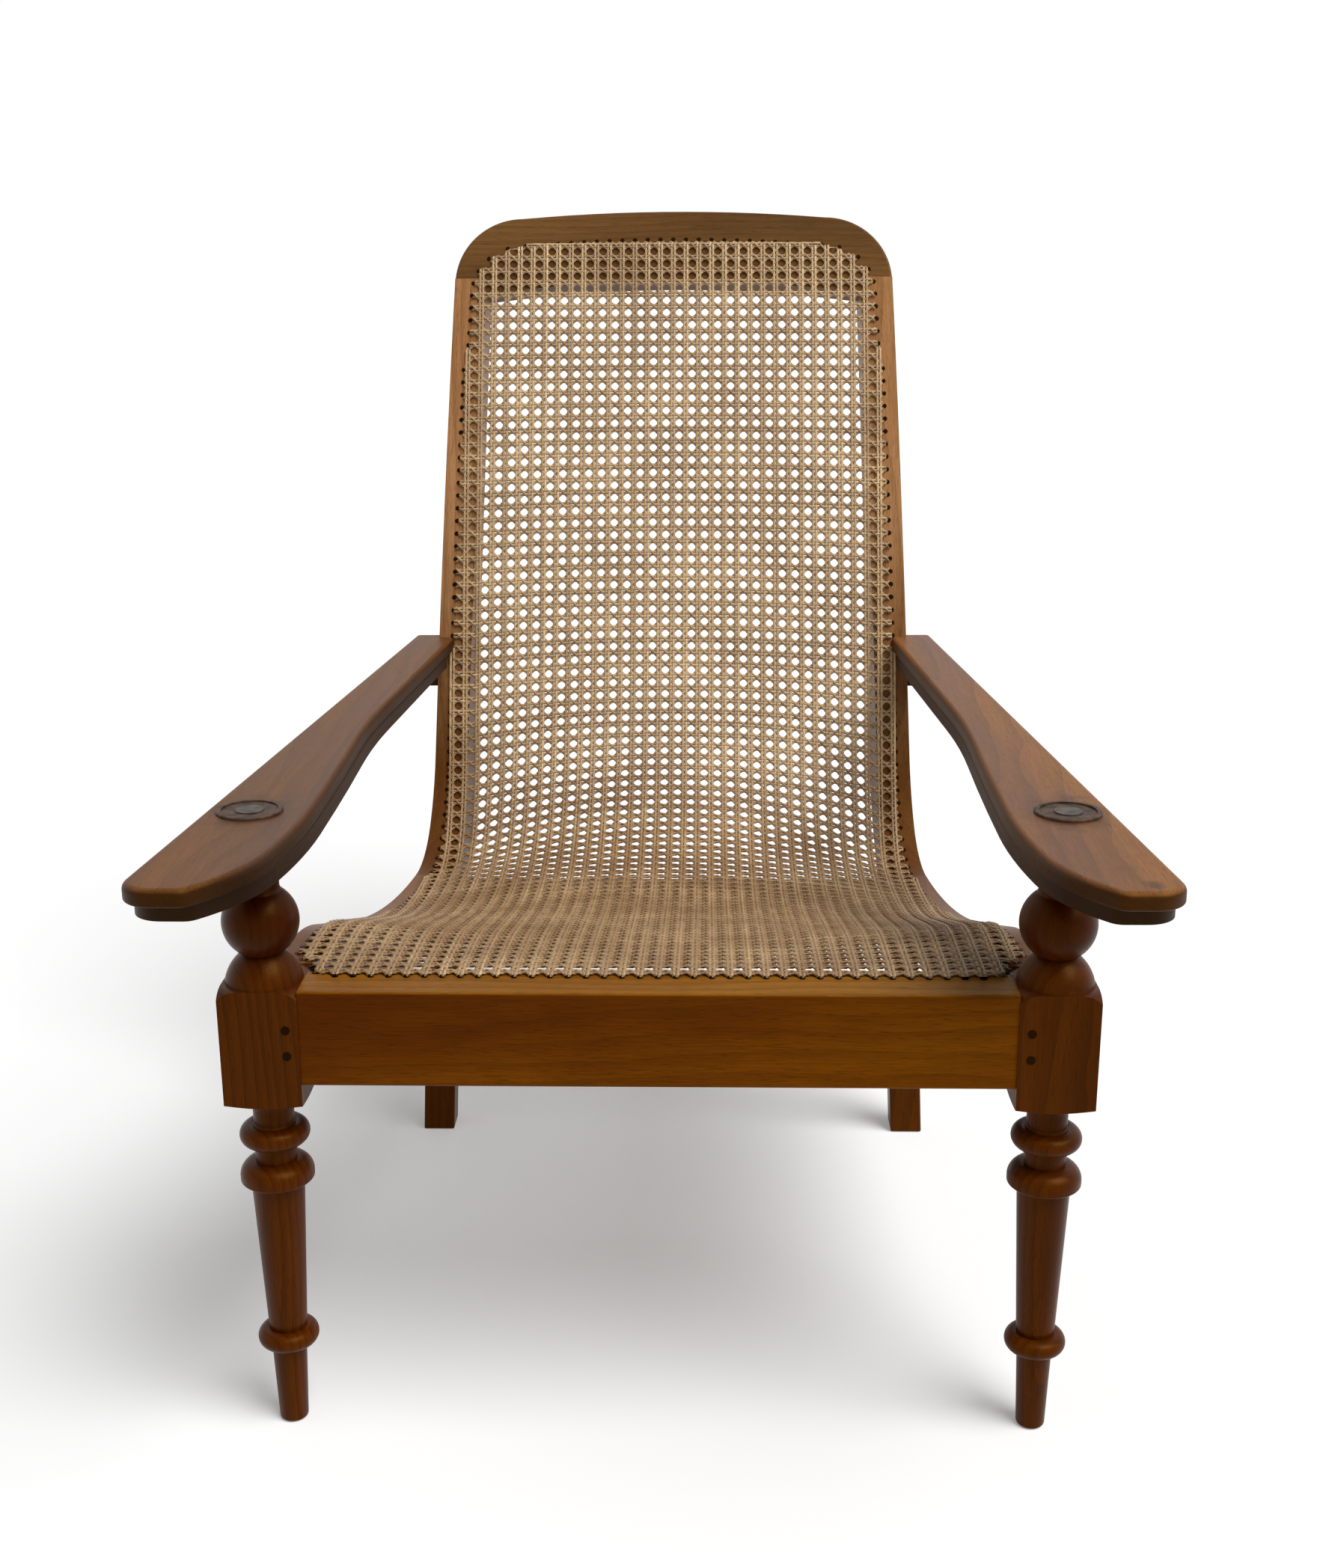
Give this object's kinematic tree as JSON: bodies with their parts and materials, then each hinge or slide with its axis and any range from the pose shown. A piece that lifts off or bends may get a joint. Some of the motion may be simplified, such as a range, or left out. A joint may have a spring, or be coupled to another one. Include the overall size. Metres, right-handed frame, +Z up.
{
  "type": "planters chair",
  "caption": "Low wooden lounging chair: a dished, raked cane seat and back in one sweep, flat paddle arms, and a leg rest under each arm that swings out to the front.",
  "frame": {"origin": "on the floor, under the middle of the chair's bounding box, leg rests folded back", "axes": "+X to the right of someone who looks at the chair's front, +Y from the front legs to the back, +Z up; names with left and right are as that viewer sees them"},
  "size_m": [0.7342, 1.0316, 0.9922],
  "materials": {
    "teak_rails": "waxed, golden brown",
    "teak_legs": "turned and polished, dark reddish brown",
    "teak_arms": "worn, satin brown",
    "teak_leaves": "satin brown",
    "dark_pegs": "dark end grain",
    "cane": "woven cane, straw coloured, slightly glossy",
    "cap_metal": "dark patina, paler worn rim",
    "steel": "plain"
  },
  "bodies": {
    "chair_frame": {"arm_cleat_left": "teak_arms", "arm_cleat_right": "teak_arms", "arm_left": "teak_arms", "arm_right": "teak_arms", "arm_screws": "steel", "back_stile_left": "teak_rails", "back_stile_right": "teak_rails", "cane_panel": "cane", "cleat_screws": "steel", "crest_pegs": "dark_pegs", "crest_rail": "teak_rails", "cross_rail_pegs": "dark_pegs", "front_leg_left": "teak_legs", "front_leg_right": "teak_legs", "front_rail": "teak_rails", "front_rail_pegs": "dark_pegs", "pivot_bolt_left": "steel", "pivot_bolt_right": "steel", "pivot_cap_left": "cap_metal", "pivot_cap_right": "cap_metal", "pivot_washers_left": "steel", "pivot_washers_right": "steel", "rear_cross_rail": "teak_rails", "rear_leg_left": "teak_legs", "rear_leg_pegs": "dark_pegs", "rear_leg_right": "teak_legs", "side_rail_left": "teak_rails", "side_rail_pegs": "dark_pegs", "side_rail_right": "teak_rails", "stile_pegs": "dark_pegs"},
    "left_leaf": {"leg_rest_left": "teak_leaves"},
    "right_leaf": {"leg_rest_right": "teak_leaves"}
  },
  "joints": [
    {"name": "left_leg_rest_pivot", "type": "hinge", "parent": "chair_frame", "child": "left_leaf", "pos_m": [-0.3155, -0.3328, 0.518], "axis": [0, 0, 1], "range_deg": [0, 180]},
    {"name": "right_leg_rest_pivot", "type": "hinge", "parent": "chair_frame", "child": "right_leaf", "pos_m": [0.3155, -0.3328, 0.518], "axis": [0, 0, -1], "range_deg": [0, 180]}
  ]
}
